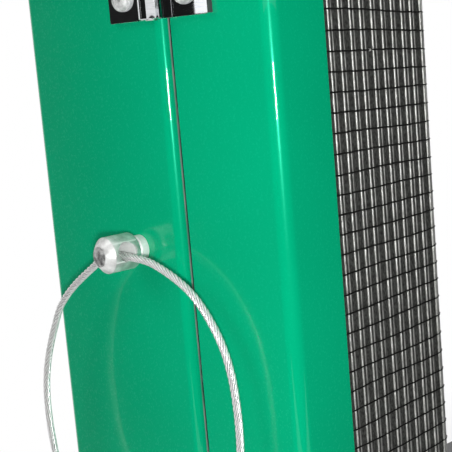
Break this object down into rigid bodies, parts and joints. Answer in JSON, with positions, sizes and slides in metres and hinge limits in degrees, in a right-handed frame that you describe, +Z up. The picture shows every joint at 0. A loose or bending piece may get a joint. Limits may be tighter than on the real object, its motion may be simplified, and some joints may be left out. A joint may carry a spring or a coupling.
{
  "type": "table tennis net clamp",
  "caption": "Net post on a table-edge screw clamp, with a split casing whose hinged wing grips the net's end, and a pull pin on a wire loop for height.",
  "frame": {"origin": "the middle of the upper jaw's pad, on the table top's surface", "axes": "+Z up, +Y from the net post towards the table along the net line, +X to the right as seen facing the post's front"},
  "size_m": [0.075, 0.2007, 0.2702],
  "materials": {
    "green_paint": "gloss",
    "black_steel": "satin",
    "zinc": "satin",
    "chrome": "polished",
    "steel": "bright",
    "spring_steel": "satin",
    "rubber": "matt",
    "white_plastic": "matt",
    "black_plastic": "satin",
    "net_black": "coarse weave",
    "net_white": "woven tape"
  },
  "bodies": {
    "clamp": {"top_bar": "black_steel", "lower_jaw": "black_steel", "jaw_bolts": "zinc", "jaw_nuts": "zinc", "jaw_pad": "rubber", "edge_pad": "rubber", "mast": "zinc", "mast_screws": "zinc"},
    "post": {"core_tube": "zinc", "lower_guide": "white_plastic", "upper_guide": "white_plastic", "guide_screws": "zinc", "fixed_casing": "green_paint", "casing_spacers": "zinc", "casing_nuts": "zinc", "wing_bumpers": "rubber", "top_cap": "black_plastic", "cord_peg": "black_plastic", "cord_peg_screw": "zinc", "net_end": "net_black", "net_band": "net_white", "upper_post_leaf": "chrome", "lower_post_leaf": "chrome", "upper_hinge_pin": "chrome", "lower_hinge_pin": "chrome", "upper_hinge_spring": "spring_steel", "lower_hinge_spring": "spring_steel", "post_leaf_screws": "steel", "post_leaf_nuts": "zinc", "pin_bush": "steel", "pin_housing": "zinc"},
    "wing": {"wing_casing": "green_paint", "upper_wing_leaf": "chrome", "lower_wing_leaf": "chrome", "wing_leaf_screws": "steel", "wing_leaf_nuts": "zinc"},
    "pull_pin": {"pull_knob": "steel", "pin_shaft": "steel", "spring_seat": "zinc", "pin_spring": "spring_steel", "brake_pad": "white_plastic"},
    "loop": {"wire_loop": "steel", "loop_ferrule": "steel"},
    "pad": {"pressure_pad": "zinc", "pad_rubber": "rubber"},
    "screw": {"clamp_screw": "steel", "hand_knob": "black_plastic", "knob_cap": "black_plastic", "pad_clip": "steel"}
  },
  "joints": [
    {"name": "post_height", "type": "slide", "parent": "clamp", "child": "post", "axis": [0, 0, 1], "range_m": [-0.005, 0.01]},
    {"name": "wing_hinge", "type": "hinge", "parent": "post", "child": "wing", "pos_m": [0.0133, -0.1749, 0.0835], "axis": [0, 0, -1], "range_deg": [0, 50], "stiffness_Nm_per_rad": 0.03, "springref_deg": -28.65},
    {"name": "pull_pin_slide", "type": "slide", "parent": "post", "child": "pull_pin", "axis": [0, -1, 0], "range_m": [0, 0.0025], "stiffness_N_per_m": 900, "springref_m": -0.004, "deforming": ["pin_spring"]},
    {"name": "loop_swing", "type": "hinge", "parent": "pull_pin", "child": "loop", "pos_m": [0, -0.1783, 0.085], "axis": [-1, 0, 0], "range_deg": [0, 65]},
    {"name": "pad_travel", "type": "slide", "parent": "clamp", "child": "pad", "axis": [0, 0, 1], "range_m": [-0.01875, 0.0125]},
    {"name": "screw_turn", "type": "hinge", "parent": "pad", "child": "screw", "pos_m": [0, 0, -0.06], "axis": [0, 0, 1], "range_deg": [-5410, 3610]}
  ],
  "couplings": [
    {"joint": "loop_swing", "follows": "wing_hinge", "ratio": 1.3},
    {"joint": "screw_turn", "follows": "pad_travel", "rad_per_m": 5026.5}
  ]
}
